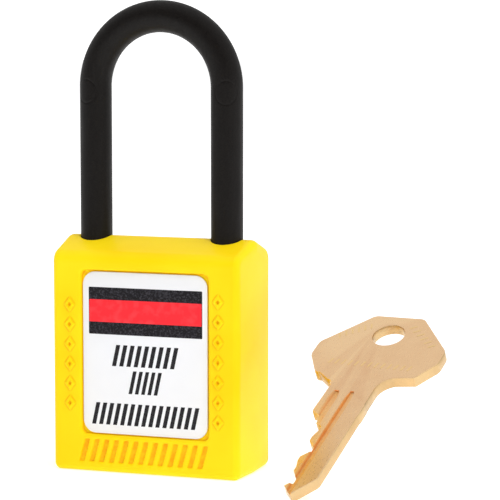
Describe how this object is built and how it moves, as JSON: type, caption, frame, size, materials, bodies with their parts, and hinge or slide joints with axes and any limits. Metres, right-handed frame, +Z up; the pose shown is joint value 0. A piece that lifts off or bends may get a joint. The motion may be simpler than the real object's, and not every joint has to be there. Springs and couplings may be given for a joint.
{
  "type": "safety padlock",
  "caption": "Lockout safety padlock with a moulded plastic body, a tall plastic shackle, a pin-tumbler cylinder and its loose key.",
  "frame": {"origin": "on the floor, at the middle of the footprint of the standing lock and its key", "axes": "+Z up along the shackle, -Y towards the front label, +X towards the key's side"},
  "size_m": [0.0717, 0.0476, 0.088],
  "materials": {
    "body_yellow": "satin moulded thermoplastic, safety yellow",
    "shackle_black": "matte black glass-filled nylon",
    "label_film": "printed white vinyl film",
    "cylinder_brass": "machined brass",
    "plated_steel": "zinc-plated steel",
    "key_metal": "stamped and milled key brass, satin"
  },
  "bodies": {
    "lock_body": {"body_case": "body_yellow", "base_plate": "body_yellow", "front_label": "label_film", "back_label": "label_film", "cylinder_housing": "cylinder_brass", "pin_cover_strip": "cylinder_brass", "cylinder_retaining_pin": "plated_steel", "shackle_spring": "plated_steel", "driver_pin_1": "plated_steel", "driver_pin_2": "plated_steel", "driver_pin_3": "plated_steel", "driver_pin_4": "plated_steel", "driver_pin_5": "plated_steel", "driver_pin_6": "plated_steel", "pin_spring_1": "plated_steel", "pin_spring_2": "plated_steel", "pin_spring_3": "plated_steel", "pin_spring_4": "plated_steel", "pin_spring_5": "plated_steel", "pin_spring_6": "plated_steel"},
    "shackle_bow": {"shackle": "shackle_black"},
    "cylinder_plug": {"plug": "cylinder_brass", "actuator_cam": "plated_steel", "plug_retaining_clip": "plated_steel", "key_pin_1": "cylinder_brass", "key_pin_2": "cylinder_brass", "key_pin_3": "cylinder_brass", "key_pin_4": "cylinder_brass", "key_pin_5": "cylinder_brass", "key_pin_6": "cylinder_brass"},
    "left_bolt": {"locking_bolt_left": "plated_steel"},
    "right_bolt": {"locking_bolt_right": "plated_steel"},
    "loose_key": {"key": "key_metal"}
  },
  "joints": [
    {"name": "shackle_lift", "type": "slide", "parent": "lock_body", "child": "shackle_bow", "axis": [0, 0, 1], "range_m": [0, 0.013], "deforming": ["shackle_spring"]},
    {"name": "plug_turn", "type": "hinge", "parent": "lock_body", "child": "cylinder_plug", "pos_m": [-0.0188, 0.0023, 0.014], "axis": [0, 0, -1], "range_deg": [0, 90]},
    {"name": "left_bolt_slide", "type": "slide", "parent": "lock_body", "child": "left_bolt", "axis": [-1, 0, 0], "range_m": [0, 0.0016]},
    {"name": "right_bolt_slide", "type": "slide", "parent": "lock_body", "child": "right_bolt", "axis": [1, 0, 0], "range_m": [0, 0.0016]},
    {"name": "key_lift", "type": "slide", "parent": "lock_body", "child": "loose_key", "axis": [0, 0, 1], "range_m": [0, 0.03]}
  ],
  "couplings": [
    {"joint": "left_bolt_slide", "follows": "plug_turn", "m_per_rad": 0.0010185},
    {"joint": "right_bolt_slide", "follows": "plug_turn", "m_per_rad": 0.0010185}
  ]
}
